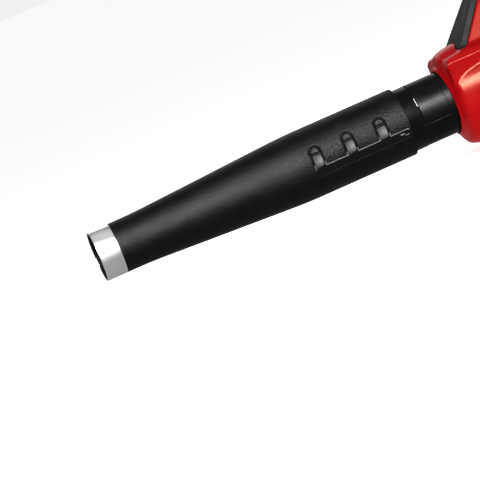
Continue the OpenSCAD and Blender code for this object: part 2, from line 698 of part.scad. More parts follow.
// ---------- motor ----------
bearings_x = [can_x + 2.4, can_rear - 2.4 - bearing_w];
module motor_can() {
    color("#9a9da1") difference() {
        union() {
            tube(can_x, can_rear, motor_r - can_wall, motor_r);
            tube(can_x, can_x + 2.4, shaft_r + 1.5, motor_r - 0.5);
            tube(can_rear - 2.4, can_rear, shaft_r + 1.5, motor_r - 0.5);
            for (x = bearings_x) tube(x - 0.5, x + bearing_w + 0.5, bearing_r, bearing_r + 2);
        }
        lead_slot();
        motor_screw_set(1.5, 8);
        around(6) translate([can_rear - 4, 0, 15]) rotate([0, 90, 0]) cylinder(h = 6, r = 3.2);
    }
}
module motor_screw_set(r, length) {
    around(4) translate([can_x - 3, 0, 14]) rotate([0, 90, 0]) cylinder(h = length, r = r);
}
module motor_windings() {
    x1 = bearings_x[0] + bearing_w + 3;
    x2 = bearings_x[1] - 3;
    color("#b0652f") {
        tube(x1 + 3, x2 - 3, magnet_r + 0.5, winding_r);
        tube(x1, x2, magnet_r + 1.6, winding_r - 1.4);
    }
}
module motor_magnet() {
    color("#5d6064") tube(bearings_x[0] + bearing_w + 3.5, bearings_x[1] - 3.5, shaft_r, magnet_r);
}
module motor_shaft() { color("#c4c7cb") disc(can_x + 0.6, fan_rear + 7, shaft_r); }
module motor_bearings() {
    color("#aeb1b5") for (x = bearings_x) tube(x, x + bearing_w, shaft_r + bore_run, bearing_r);
}
module motor_screws() {
    color("#55565a") {
        motor_screw_set(1.5, 5.4);
        translate([-3, 0, 0]) motor_screw_set(2.7, 3);
    }
}
module motor_leads() {
    lead_r = 1.2;
    up = damper_r + 5.5;
    color("#2c4f8c") for (i = [-1:1]) lead([
        [lead_x + 3 * i, 0, winding_r + 0.3], [lead_x + 3 * i, 0, up + 3 * i],
        [hub_x - 2, 0, up + 3 * i], plus_y(in_column(20 + 4 * i, 18.4), 0)], lead_r);
}
function plus_y(at, y) = [at[0], y, at[1]];

// ---------- controls ----------
trigger_outline = [
    [-4.6, -7], [-4.8, -15], [-2, -18.6], [2, -17.6], [10, -13.6], [22, -12], [23.4, -8.5], [22, -3],
    [20, 0.6], [13, 0.6], [6, 3]];
module trigger() {
    color("#b3231d") difference() {
        union() {
            side_at(trigger_at) polygon(trigger_outline);
            y_pin(trigger_at, trigger_half, 4.8);
        }
        y_pin(trigger_at, trigger_half + 1, pin_r + bore_run);
    }
}
module side_at(at) { translate([at[0], 0, at[1]]) side(trigger_half) children(); }
module trigger_pin() { color("#b9bbbe") y_pin(trigger_at, 13, pin_r); }
spring_x = trigger_at[0] + 16.5;
shelf_z = switch_top - 7;
module trigger_spring() {
    z0 = trigger_at[1] + 0.7;
    color("#c4c7cb") translate([spring_x, 0, z0]) spring(3, 0.45, shelf_z - 0.1 - z0, 4);
}
module switch_module() {
    color("#3b3b40") {
        middle_box([switch_x, switch_x + 34], control_half, [switch_top - 16, switch_top]);
        middle_box([turbo_x - 8, switch_x + 1], control_half - 3, [shelf_z, switch_top]);
    }
}
module speed_dial() {
    grips = 30;
    color("#2b2b2e") difference() {
        y_pin(dial_at, dial_half, dial_r);
        y_pin(dial_at, dial_half + 1, pin_r + bore_run);
        for (i = [0:grips - 1]) y_pin(dial_at + (dial_r + 0.35) * [cos(360 * i / grips), sin(360 * i / grips)], dial_half + 1, 0.8);
    }
}
module dial_axle() { color("#b9bbbe") y_pin(dial_at, 13, pin_r); }
module turbo_button() {
    color("#c8322a") translate([turbo_x, 0, 0]) {
        translate([0, 0, turbo_flange_z - 1]) cylinder(h = top_z + 1.2 - turbo_flange_z, r = turbo_r);
        translate([0, 0, top_z + 0.1]) cylinder(h = 1.2, r1 = turbo_r, r2 = turbo_r - 1.2);
        translate([0, 0, turbo_flange_z - 1.6]) cylinder(h = 1.4, r = turbo_r + 2.2);
    }
}
module turbo_spring() {
    z0 = switch_top + 0.1;
    color("#c4c7cb") translate([turbo_x, 0, z0]) spring(3.4, 0.4, turbo_flange_z - 1.7 - z0, 3);
}
module control_board() { color("#2f6b3d") in_column_frame() middle_box([14, 70], 18, [-17, -15.4]); }
module heat_sink() {
    color("#8f9296") in_column_frame() {
        middle_box([34, 54], 12, [-15.4, -13]);
        for (i = [0:5]) middle_box([34 + 3.7 * i, 35.5 + 3.7 * i], 12, [-13.2, -8.4]);
    }
}
module board_capacitors() {
    color("#4a4a78") in_column_frame() for (s = [40, 52]) translate([s, 0, -25]) cylinder(h = 8, r = 5);
}
module battery_leads() {
    lead_r = 1.5;
    y = grip_half - 7.1;
    color("#8c1f1c") for (m = [-1, 1]) lead([
        [bay_x - 8.1, m * blade_y, (blade_z[0] + blade_z[1]) / 2], [open_rear + 13, m * blade_y, grip_low + 6],
        [open_rear - 8, m * y, grip_low + 11], [switch_x - 4, m * y, grip_low + 19],
        [trigger_at[0] - 9, m * y, trigger_at[1] + 6.6], [open_front - 8, m * y, grip_low + 8],
        plus_y(in_column(70, 22), m * y), plus_y(in_column(62, 18.6), m * y)], lead_r);
}
module switch_lead() {
    y = grip_half - 10.6;
    color("#3f3f44") lead([
        [switch_x - 0.1, -y, grip_low + 17], [trigger_at[0] - 9, -y, trigger_at[1] + 6.6],
        [open_front - 8, -y, grip_low + 8], plus_y(in_column(70, 22), -y),
        plus_y(in_column(64, 18), -y)], 0.9);
}
module terminal_block() {
    color("#29292c") difference() {
        middle_box([bay_x - 8, bay_x - 0.2], blade_y + 6.8, blade_z + [-1.8, 1.8]);
        for (m = [-1, 1]) translate([0, m * blade_y, 0]) middle_box([bay_x - 6, bay_x], 0.4, blade_z);
    }
}
module terminal_blades() {
    color("#c99a45") for (m = [-1, 1]) translate([0, m * blade_y, 0])
        middle_box([bay_x - 6, pack_x + 10], 0.4, blade_z);
}

// ---------- battery ----------
module pack_plan(inset) {
    translate([pack_x, -pack_half]) offset(r = 5 - inset) offset(delta = -5) square([pack_len, 2 * pack_half]);
}
module pack_shell(z1, z2) { translate([0, 0, z1]) linear_extrude(height = z2 - z1) pack_plan(0); }
module pack_room(z1, z2) { translate([0, 0, z1]) linear_extrude(height = z2 - z1) pack_plan(case_wall); }
pack_screw_at = [for (x = [pack_x + 5.4, pack_end - 5.4]) for (y = [-1, 1]) [x, y * (pack_half - 4.6)]];
module pack_bosses(z1, z2) { for (p = pack_screw_at) translate([p[0], p[1], z1]) cylinder(h = z2 - z1, r = 3); }
module pack_screw_solids() {
    for (p = pack_screw_at) translate([p[0], p[1], pack_low]) {
        cylinder(h = 1.8, r = 2.5);
        cylinder(h = case_split - pack_low + 8, r = 1.4);
    }
}
module battery_case_lower() {
    color("#26262a") difference() {
        union() {
            difference() {
                pack_shell(pack_low, case_split);
                pack_room(pack_low + case_wall, case_split + 1);
            }
            pack_bosses(pack_low, case_split);
        }
        pack_screw_solids();
        for (i = [0:5]) middle_box([pack_x + 22 + 14 * i, pack_x + 30 + 14 * i], 24, [pack_low - 1, pack_low + 0.8]);
    }
}
button_pocket = [pack_end - 14, pack_end + 1];
module battery_case_upper() {
    color("#26262a") difference() {
        union() {
            difference() {
                pack_shell(case_split, pack_top);
                pack_room(case_split - 1, pack_top - case_wall);
            }
            pack_bosses(case_split, case_split + 10);
            middle_box(rail_x, rail[0], [pack_top - 1, pack_top + rail_h + 0.1]);
            middle_box(rail_x, rail[1], [pack_top + rail_h, rail_top]);
            middle_box([button_pocket[0] - 2, pack_end - 1], button_half + 2.4, [button_z[0] - 2.2, pack_top - 1]);
        }
        middle_box(button_pocket, button_half + 0.3, button_z + [-0.3, 0.3]);
        for (m = [-1, 1]) translate([0, m * blade_y, 0])
            middle_box([pack_x - 1, pack_x + 14], 1, blade_z + [-1, 1]);
        middle_box([catch_x - 17, catch_x + 17], 8, [rail_top - 2, rail_top + 1]);
        pack_screw_solids();
        gauge_holes(0);
    }
}
module battery_button() {
    x = [pack_end - 7, pack_end - 0.4];
    color("#c8322a") difference() {
        middle_box(x, button_half, button_z);
        for (i = [-2:2]) translate([0, 4 * i, 0]) middle_box([x[1] - 0.8, x[1] + 1], 0.7, button_z + [2, -2]);
    }
}
module battery_button_spring() {
    length = pack_end - 7 - button_pocket[0] - 0.2;
    color("#c4c7cb") translate([button_pocket[0] + 0.1, 0, (button_z[0] + button_z[1]) / 2]) rotate([0, 90, 0])
        spring(3.2, 0.4, length, 3);
}
// Spring-steel leaf on the rail; its hump clicks into a notch in the bridge
module battery_catch() {
    z = rail_top - 2;
    color("#c4c7cb") side_of(7.5) polygon([
        [catch_x - 16, z], [catch_x + 16, z], [catch_x + 16, z + 0.6], [catch_x + 7.5, z + 0.6],
        [catch_x + 3, slot_top + 1.6], [catch_x - 3, slot_top + 1.6], [catch_x - 7.5, z + 0.6],
        [catch_x - 16, z + 0.6]]);
}
module side_of(half) { side(half) children(); }
module battery_cells() {
    color("#3f7f8c") for (i = [0:cell_count - 1]) for (k = [0, 1]) {
        at = [cells_x + cell_pitch * (i + 0.5), pack_low + case_wall + 0.5 + cell_pitch * (k + 0.5)];
        y_pin(at, cell_len / 2, cell_d / 2);
    }
}
module cell_holder() {
    color("#3a3a3e") difference() {
        for (m = [-1, 1]) translate([0, m * (cell_len / 2 - 5), 0])
            middle_box([cells_x + 0.2, cells_x + cell_count * cell_pitch - 0.2], 1.5,
                [pack_low + case_wall + 0.3, cells_top]);
        battery_cells();
    }
}
module battery_board() {
    color("#2f6b3d") middle_box([pack_x + 16, button_pocket[0] - 3], pack_half - 8, [cells_top + 0.4, cells_top + 2]);
}
gauge_z = case_split + 5;
module gauge_holes(gap) {
    for (i = [0:3]) translate([pack_end - 6, -9 + 6 * i, gauge_z]) rotate([0, 90, 0]) cylinder(h = 10, r = 1.5 + gap);
    translate([pack_end - 6, -19, gauge_z]) rotate([0, 90, 0]) cylinder(h = 10, r = 4);
}
module gauge_lights() {
    color("#cfd6cf") for (i = [0:3]) translate([pack_end - 3, -9 + 6 * i, gauge_z]) rotate([0, 90, 0])
        cylinder(h = 2.8, r = 1.5);
}
module gauge_button() {
    color("#4a4a4e") translate([pack_end - 3, -19, gauge_z]) rotate([0, 90, 0]) cylinder(h = 2.9, r = 4);
}
module battery_screws() {
    color("#55565a") difference() {
        pack_screw_solids();
        for (p = pack_screw_at) translate([p[0], p[1], pack_low - 1]) cylinder(h = 2.2, r = 1.3, $fn = 6);
    }
}

place() nozzle_tube();
place() nozzle_ring();
place() tube_seal();
place() inner_tube();
place() outlet_spigot();
place() housing_left();
place() housing_right();
place() handle_cover();
place() housing_screws();
place() foot_front();
place() foot_rear();
place() intake_grille();
place() inlet_bell();
place() fan_duct();
place() damper_front();
place() damper_rear();
place() stator();
place() tail_cone();
place() fan_rotor();
place() spinner();
place() fan_nut();
place() motor_can();
place() motor_windings();
place() motor_magnet();
place() motor_shaft();
place() motor_bearings();
place() motor_screws();
place() motor_leads();
place() trigger();
place() trigger_pin();
place() trigger_spring();
place() switch_module();
place() speed_dial();
place() dial_axle();
place() turbo_button();
place() turbo_spring();
place() control_board();
place() heat_sink();
place() board_capacitors();
place() battery_leads();
place() switch_lead();
place() terminal_block();
place() terminal_blades();
place() battery_case_upper();
place() battery_case_lower();
place() battery_cells();
place() cell_holder();
place() battery_board();
place() battery_button();
place() battery_button_spring();
place() battery_catch();
place() gauge_button();
place() gauge_lights();
place() battery_screws();
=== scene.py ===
# Looks of a cordless axial leaf blower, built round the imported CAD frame.
# Lengths in this script are millimetres in the blower's own frame, unless a section says otherwise.
# x runs along the blow tube from the nozzle to the battery, with 0 at the housing's front lip.
# z = 0 is the tube's axis.
import json
import math

import bpy
import numpy as np
from mathutils import Matrix, Vector


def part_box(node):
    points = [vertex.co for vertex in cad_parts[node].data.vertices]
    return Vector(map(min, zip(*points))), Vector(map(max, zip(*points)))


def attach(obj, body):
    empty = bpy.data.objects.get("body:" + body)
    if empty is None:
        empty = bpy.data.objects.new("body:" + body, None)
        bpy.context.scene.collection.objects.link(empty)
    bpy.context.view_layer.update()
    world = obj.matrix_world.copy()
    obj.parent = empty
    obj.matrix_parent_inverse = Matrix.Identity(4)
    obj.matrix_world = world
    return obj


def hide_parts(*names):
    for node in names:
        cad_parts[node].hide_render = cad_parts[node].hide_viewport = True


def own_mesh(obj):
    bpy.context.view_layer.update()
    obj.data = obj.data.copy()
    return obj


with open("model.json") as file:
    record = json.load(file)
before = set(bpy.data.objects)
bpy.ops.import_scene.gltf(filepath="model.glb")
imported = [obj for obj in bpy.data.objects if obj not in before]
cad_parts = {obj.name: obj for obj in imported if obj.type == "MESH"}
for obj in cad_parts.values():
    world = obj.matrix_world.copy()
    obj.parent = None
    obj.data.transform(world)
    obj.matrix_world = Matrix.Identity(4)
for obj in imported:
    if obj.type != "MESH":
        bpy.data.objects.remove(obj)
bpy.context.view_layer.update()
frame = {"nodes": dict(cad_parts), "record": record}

MM = 0.001
LIP_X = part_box("housing_left")[0].x
RING_LOW, RING_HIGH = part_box("nozzle_ring")
AXIS_Z = (RING_LOW.z + RING_HIGH.z) / 2
TIP_X = (RING_LOW.x - LIP_X) / MM
NOZZLE_LEN = 443
NOZZLE_REAR = TIP_X + NOZZLE_LEN


def place(points):
    """Points of the blower's own frame, in millimetres, as row frame metres."""
    pts = np.asarray(points, float) * MM
    pts[..., 0] += LIP_X
    pts[..., 2] += AXIS_Z
    return pts


# ---------- camera, floor and light ----------
# Places and sizes in this section are metres, except AIM_FROM_TIP.
CAMERA_AZIMUTH = math.radians(-7.5)
CAMERA_ELEVATION = math.radians(6)
CAMERA_DISTANCE = 4.2
TUBE_SLOPE = math.radians(24)   # how steeply the tube rises across the picture
PICTURE_WIDTH = 0.63            # width of the view where the camera aims
AIM_FROM_TIP = 183
AIM_BELOW_AXIS = 0.0563
AIM_SHIFT = 0.0022
FILL_ABOVE = 0.12
FILL_BELOW = 0.45
FILL_BLEND = 0.25               # height of the ray direction at which the fill stops changing
FLOOR_HALF = 60
WALL_R = 32
WALL_HEIGHT = 30
WALL_SIDES = 64


def make_camera():
    """Looks at the front of the tube from the near side, rolled so that the tube rises to the right."""
    back = Vector((math.sin(CAMERA_AZIMUTH) * math.cos(CAMERA_ELEVATION),
                   -math.cos(CAMERA_AZIMUTH) * math.cos(CAMERA_ELEVATION),
                   math.sin(CAMERA_ELEVATION)))
    along = (Vector((1, 0, 0)) - back * back.x).normalized()
    across = back.cross(along).normalized()
    right = math.cos(TUBE_SLOPE) * along - math.sin(TUBE_SLOPE) * across
    up = math.sin(TUBE_SLOPE) * along + math.cos(TUBE_SLOPE) * across
    aim = Vector(place([TIP_X + AIM_FROM_TIP, 0, 0])) - AIM_BELOW_AXIS * across - AIM_SHIFT * right
    data = bpy.data.cameras.new("camera")
    data.angle = 2 * math.atan(PICTURE_WIDTH / 2 / CAMERA_DISTANCE)
    camera = bpy.data.objects.new("camera", data)
    bpy.context.scene.collection.objects.link(camera)
    rotation = np.array([right, up, back]).T
    eye = aim + CAMERA_DISTANCE * back
    camera.matrix_world = Matrix([[*rotation[i], eye[i]] for i in range(3)] + [[0, 0, 0, 1]])
    bpy.context.scene.camera = camera


def area_light(name, at, target, size, power):
    data = bpy.data.lights.new(name, "AREA")
    data.shape = "RECTANGLE"
    data.size, data.size_y = size
    data.energy = power
    lamp = bpy.data.objects.new(name, data)
    bpy.context.scene.collection.objects.link(lamp)
    lamp.location = at
    lamp.rotation_euler = (Vector(target) - Vector(at)).to_track_quat("-Z", "Y").to_euler()
    return lamp


def make_studio():
    """Plain pale floor and round wall that glow a little, under soft lamps."""
    half, sides = FLOOR_HALF, WALL_SIDES
    floor_corners = [(-half, -half, 0), (half, -half, 0), (half, half, 0), (-half, half, 0)]
    round_way = [2 * math.pi * k / sides for k in range(sides)]
    wall_points = [(WALL_R * math.cos(a), WALL_R * math.sin(a), z)
                   for z in (-0.01, WALL_HEIGHT) for a in round_way]
    wall_faces = [(k, (k + 1) % sides, sides + (k + 1) % sides, sides + k) for k in range(sides)]
    for name, points, faces, glow, albedo in (
            ("studio_floor", floor_corners, [(0, 1, 2, 3)], 0.7, 0.8),
            ("studio_wall", wall_points, wall_faces, 0.9, 0.0)):
        mesh = bpy.data.meshes.new(name)
        mesh.from_pydata(points, [], faces)
        ground = bpy.data.objects.new(name, mesh)
        bpy.context.scene.collection.objects.link(ground)
        mesh.materials.append(plain_pale(name, glow, albedo))
        ground.visible_glossy = False
        ground.visible_shadow = name == "studio_floor"
        ground.visible_diffuse = name == "studio_floor"
    world = bpy.data.worlds.new("studio")
    bpy.context.scene.world = world
    world.use_nodes = True
    world_light(world)
    area_light("key", (-0.35, -1.9, 1.25), (0, 0, 0.08), (1.9, 0.5), 42)
    gloss = area_light("gloss", (-0.3, -2.2, 1.2), (0, 0, 0.08), (2.0, 0.5), 300)
    gloss.visible_diffuse = False
    area_light("top", (0.2, 0.2, 2.6), (0, 0, 0.1), (2.6, 1.6), 7)
    area_light("back", (0.3, 2.4, 1.3), (0, 0, 0.1), (2.4, 1.2), 14)
    wash = bpy.data.lights.new("wash", "SUN")
    wash.energy = 0.6
    wash.angle = math.radians(60)
    lamp = bpy.data.objects.new("wash", wash)
    lamp.visible_glossy = False
    bpy.context.scene.collection.objects.link(lamp)
    bpy.context.scene.view_settings.view_transform = "Standard"
    bpy.context.scene.view_settings.gamma = 0.8


def world_light(world):
    """Soft fill: dim from above, brighter from below, as from a pale floor."""
    tree = world.node_tree
    position = tree.nodes.new("ShaderNodeTexCoord").outputs["Generated"]
    split = tree.nodes.new("ShaderNodeSeparateXYZ")
    tree.links.new(position, split.inputs[0])
    fade = tree.nodes.new("ShaderNodeMapRange")
    fade.inputs["From Min"].default_value = -FILL_BLEND
    fade.inputs["From Max"].default_value = FILL_BLEND
    fade.inputs["To Min"].default_value = FILL_BELOW
    fade.inputs["To Max"].default_value = FILL_ABOVE
    tree.links.new(split.outputs["Z"], fade.inputs["Value"])
    background = tree.nodes["Background"]
    background.inputs["Color"].default_value = (1, 1, 1, 1)
    tree.links.new(fade.outputs["Result"], background.inputs["Strength"])


# ---------- materials ----------
MOULDED_IOR = 1.46
COAT_ROUGHNESS = 0.12
NOISE_LOW = 0.3         # most of a noise texture's values lie between these two
NOISE_HIGH = 0.7
BROAD_SCALE = 38.0      # patches of colour and gloss, about 26 mm across
WORN_FACTOR = 2.2       # how much lighter a worn edge is


def plain_pale(name, glow, albedo):
    mat = bpy.data.materials.new(name)
    mat.use_nodes = True
    shader = mat.node_tree.nodes["Principled BSDF"]
    shader.inputs["Base Color"].default_value = (albedo, albedo, albedo, 1)
    shader.inputs["Roughness"].default_value = 0.9
    shader.inputs["Specular IOR Level"].default_value = 0.0
    shader.inputs["Emission Color"].default_value = (1, 1, 1, 1)
    shader.inputs["Emission Strength"].default_value = glow
    return mat


def new_node(mat, kind, **settings):
    node = mat.node_tree.nodes.new(kind)
    for name, value in settings.items():
        setattr(node, name, value)
    return node


def link(mat, out, into):
    mat.node_tree.links.new(out, into)


def noise(mat, coords, scale, detail=3.0, rough=0.55):
    node = new_node(mat, "ShaderNodeTexNoise")
    node.inputs["Scale"].default_value = scale
    node.inputs["Detail"].default_value = detail
    node.inputs["Roughness"].default_value = rough
    link(mat, coords, node.inputs["Vector"])
    return node.outputs["Fac"]


def ramp(mat, fac, low, high, colour_low, colour_high):
    node = new_node(mat, "ShaderNodeValToRGB")
    node.color_ramp.elements[0].position = low
    node.color_ramp.elements[1].position = high
    node.color_ramp.elements[0].color = (*colour_low, 1)
    node.color_ramp.elements[1].color = (*colour_high, 1)
    link(mat, fac, node.inputs["Fac"])
    return node.outputs["Color"]


def span(mat, fac, low, high):
    node = new_node(mat, "ShaderNodeMapRange")
    node.inputs["From Min"].default_value = NOISE_LOW
    node.inputs["From Max"].default_value = NOISE_HIGH
    node.inputs["To Min"].default_value = low
    node.inputs["To Max"].default_value = high
    link(mat, fac, node.inputs["Value"])
    return node.outputs["Result"]


def bump(mat, height, strength, distance, before=None):
    node = new_node(mat, "ShaderNodeBump")
    node.inputs["Strength"].default_value = strength
    node.inputs["Distance"].default_value = distance
    link(mat, height, node.inputs["Height"])
    if before is not None:
        link(mat, before, node.inputs["Normal"])
    return node.outputs["Normal"]


def shade(colour, factor):
    return tuple(min(1.0, c * factor) for c in colour)


def finish_of(name, colour, roughness, metallic=0.0, grain=0.0008, depth=0.1, mottle=0.12, spread=0.06,
              coat=0.0, stretch=None, worn=0.0, specular=0.5, gloss_tint=(1, 1, 1)):
    """Moulded or machined finish: mottled colour, uneven gloss, fine grain, and lighter worn edges."""
    mat = bpy.data.materials.new(name)
    mat.use_nodes = True
    shader = mat.node_tree.nodes["Principled BSDF"]
    shader.inputs["Metallic"].default_value = metallic
    shader.inputs["IOR"].default_value = MOULDED_IOR
    shader.inputs["Specular IOR Level"].default_value = specular
    shader.inputs["Specular Tint"].default_value = (*gloss_tint, 1)
    shader.inputs["Coat Weight"].default_value = coat
    shader.inputs["Coat Roughness"].default_value = COAT_ROUGHNESS
    coords = new_node(mat, "ShaderNodeTexCoord").outputs["Object"]
    if stretch is not None:
        mapping = new_node(mat, "ShaderNodeMapping")
        mapping.inputs["Scale"].default_value = stretch
        link(mat, coords, mapping.inputs["Vector"])
        coords = mapping.outputs["Vector"]
    broad = noise(mat, coords, BROAD_SCALE, 4.0)
    fine = noise(mat, coords, 1.0 / grain, 2.0)
    tint = ramp(mat, broad, NOISE_LOW, NOISE_HIGH, shade(colour, 1 - mottle), shade(colour, 1 + mottle))
    if worn > 0:
        edge = new_node(mat, "ShaderNodeNewGeometry").outputs["Pointiness"]
        wear_and_glint = ramp(mat, edge, 0.52, 0.62, (0, 0, 0), (worn, worn, worn))
        mix = new_node(mat, "ShaderNodeMix", data_type="RGBA")
        link(mat, wear_and_glint, mix.inputs["Factor"])
        link(mat, tint, mix.inputs["A"])
        mix.inputs["B"].default_value = (*shade(colour, WORN_FACTOR), 1)
        tint = mix.outputs["Result"]
    link(mat, tint, shader.inputs["Base Color"])
    link(mat, span(mat, broad, roughness - spread, roughness + spread), shader.inputs["Roughness"])
    soft = bump(mat, broad, depth * 0.35, 0.0012)
    link(mat, bump(mat, fine, depth, grain * 0.6, soft), shader.inputs["Normal"])
    return mat


LOOKS = {
    "tube_black": dict(colour=(0.004, 0.004, 0.0042), roughness=0.44, grain=0.0016, depth=0.9, mottle=0.3,
                       worn=0.1, specular=0.2),
    "ring_aluminium": dict(colour=(0.86, 0.86, 0.87), roughness=0.3, metallic=1.0, grain=0.0005, depth=0.12,
                           mottle=0.05, spread=0.05, stretch=(0.25, 1, 1)),
    "connector_black": dict(colour=(0.0035, 0.0035, 0.0037), roughness=0.38, grain=0.0009, depth=0.2,
                            worn=0.1, specular=0.2),
    "seal_rubber": dict(colour=(0.02, 0.02, 0.021), roughness=0.6, depth=0.2),
    "housing_red": dict(colour=(0.42, 0.004, 0.009), roughness=0.27, grain=0.0009, depth=0.12, mottle=0.07,
                        specular=0.2, gloss_tint=(1, 0.72, 0.5)),
    "grip_rubber": dict(colour=(0.014, 0.014, 0.015), roughness=0.55, grain=0.0009, depth=0.6, mottle=0.16,
                        specular=0.2),
    "trim_black": dict(colour=(0.016, 0.016, 0.018), roughness=0.42, grain=0.0009, depth=0.35),
    "duct_black": dict(colour=(0.02, 0.02, 0.023), roughness=0.38, grain=0.0009, depth=0.2),
    "screw_steel": dict(colour=(0.22, 0.22, 0.23), roughness=0.35, metallic=1.0, grain=0.0004, depth=0.15),
    "bright_steel": dict(colour=(0.6, 0.6, 0.61), roughness=0.22, metallic=1.0, grain=0.0004, depth=0.1,
                         mottle=0.05),
    "can_steel": dict(colour=(0.42, 0.43, 0.45), roughness=0.3, metallic=1.0, grain=0.0005, depth=0.15,
                      mottle=0.06, stretch=(1, 0.3, 0.3)),
    "copper": dict(colour=(0.72, 0.27, 0.12), roughness=0.3, metallic=1.0, grain=0.0005, depth=0.4,
                   mottle=0.15),
    "magnet_iron": dict(colour=(0.16, 0.16, 0.17), roughness=0.4, metallic=0.8, grain=0.0006, depth=0.2),
    "control_red": dict(colour=(0.5, 0.018, 0.012), roughness=0.38, grain=0.0007, depth=0.25, worn=0.1),
    "wire_blue": dict(colour=(0.02, 0.08, 0.36), roughness=0.4),
    "wire_red": dict(colour=(0.45, 0.02, 0.015), roughness=0.4),
    "wire_grey": dict(colour=(0.16, 0.16, 0.17), roughness=0.42),
    "board_green": dict(colour=(0.012, 0.09, 0.03), roughness=0.3, grain=0.0015, depth=0.2, coat=0.4),
    "sink_aluminium": dict(colour=(0.62, 0.63, 0.65), roughness=0.4, metallic=1.0, grain=0.0005, depth=0.2),
    "capacitor_sleeve": dict(colour=(0.012, 0.02, 0.06), roughness=0.3),
    "contact_brass": dict(colour=(0.72, 0.48, 0.17), roughness=0.25, metallic=1.0, grain=0.0005, depth=0.12),
    "cell_wrap": dict(colour=(0.03, 0.16, 0.2), roughness=0.28),
    "holder_plastic": dict(colour=(0.05, 0.05, 0.055), roughness=0.45),
    "pale_nylon": dict(colour=(0.85, 0.85, 0.84), roughness=0.3, grain=0.0006, depth=0.1, mottle=0.03),
    "light_window": dict(colour=(0.16, 0.3, 0.13), roughness=0.2, coat=0.5),
}
FINISHES = {name: finish_of(name, **look) for name, look in LOOKS.items()}


# ---------- mesh helpers ----------
def new_object(name, verts, faces, material, body, smooth_angle):
    """A new piece that rides on a body, with edges sharper than smooth_angle (degrees) kept sharp."""
    mesh = bpy.data.meshes.new(name)
    mesh.from_pydata([tuple(v) for v in verts], [], faces)
    mesh.validate()
    mesh.update()
    obj = bpy.data.objects.new(name, mesh)
    bpy.context.scene.collection.objects.link(obj)
    mesh.materials.append(material)
    mesh.set_sharp_from_angle(angle=math.radians(smooth_angle))
    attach(obj, body)
    return obj


def grid_faces(rows, columns, wrap_rows, wrap_columns):
    """Quads of a rows x columns grid of points, closed round in the directions that wrap."""
    i = np.arange(rows if wrap_rows else rows - 1)
    j = np.arange(columns if wrap_columns else columns - 1)
    a, b = np.meshgrid(i, j, indexing="ij")
    a2 = (a + 1) % rows
    b2 = (b + 1) % columns
    quads = np.stack([a * columns + b, a2 * columns + b, a2 * columns + b2, a * columns + b2], -1)
    return quads.reshape(-1, 4).tolist()


def ease_step(value, low, high):
    """0 below low, 1 above high, and an even S between them."""
    t = np.clip((value - low) / (high - low), 0, 1)
    return t * t * (3 - 2 * t)


def wrap_round(x, r, angle):
    """Points at a radius round the tube's axis. Angle 0 is the near side and a right angle is the top."""
    return np.stack([x, -r * np.cos(angle), r * np.sin(angle)], -1)


# ---------- blow tube ----------
# Names that end in EL are angles round the tube's axis in degrees: 0 is the near side and 90 is the top.
TIP_R = 34.3
NOZZLE_R = 46.9
BORE_R = 43.4
TUBE_WALL = 2.4
RING_LEN = 29.0
TAPER_START = 45.0
TAPER_LEN = 258.0
TAPER_EASE = 0.15       # share of the taper that eases in, and the same share out
FINGERS = 3
FINGER_HALF = 7.0
FINGER_FROM_REAR = 38
PITCH = 46.5
LUG_X = NOZZLE_REAR - FINGER_FROM_REAR - 2 * PITCH
LUG_EL = -16.0
FINGER_EL = 19.0
BAND_HALF_EL = 7.0
COMB_END = NOZZLE_REAR - 5
COMB_CORNER = 1.2
GROOVE_DEPTH = 1.9      # channel for the lug inside the bore
GROOVE_HALF = 5.8
BORE_STEPS = 180
RING_STEPS = 180
# Raised dashes in the band: distance from the comb's end, height over the band's middle, and strength
DASHES = ((9.5, 1.6, 1.0), (3.5, -1.2, 0.5))


def taper(d):
    """Outside radius of the nozzle at a distance from its tip."""
    t = (d - TAPER_START) / TAPER_LEN
    w = 2 * TAPER_EASE * (1 - TAPER_EASE)
    straight = (t - TAPER_EASE / 2) / (1 - TAPER_EASE)
    rise = np.where(t < TAPER_EASE, t * t / w, np.where(t <= 1 - TAPER_EASE, straight, 1 - (1 - t) ** 2 / w))
    rise = np.where(t <= 0, 0, np.where(t >= 1, 1, rise))
    return TIP_R + (NOZZLE_R - TIP_R) * rise


def comb_distance(x, t, half, band_half, rear):
    """Signed distance, negative inside, to the comb: a long band and three round-ended fingers."""
    t_low = NOZZLE_R * math.radians(LUG_EL)
    t_high = NOZZLE_R * math.radians(FINGER_EL)
    front = LUG_X - half
    dx = np.maximum(front - x, x - rear)
    dt = np.abs(t - t_low) - band_half
    corner = COMB_CORNER
    distance = np.hypot(np.maximum(dx + corner, 0), np.maximum(dt + corner, 0)) - corner
    distance = np.where((dx < -corner) & (dt < -corner), np.maximum(dx, dt), distance)
    nearest = np.clip(t, t_low, t_high)
    for i in range(FINGERS):
        finger = np.hypot(x - (LUG_X + i * PITCH), t - nearest) - half
        distance = np.minimum(distance, finger)
    return distance


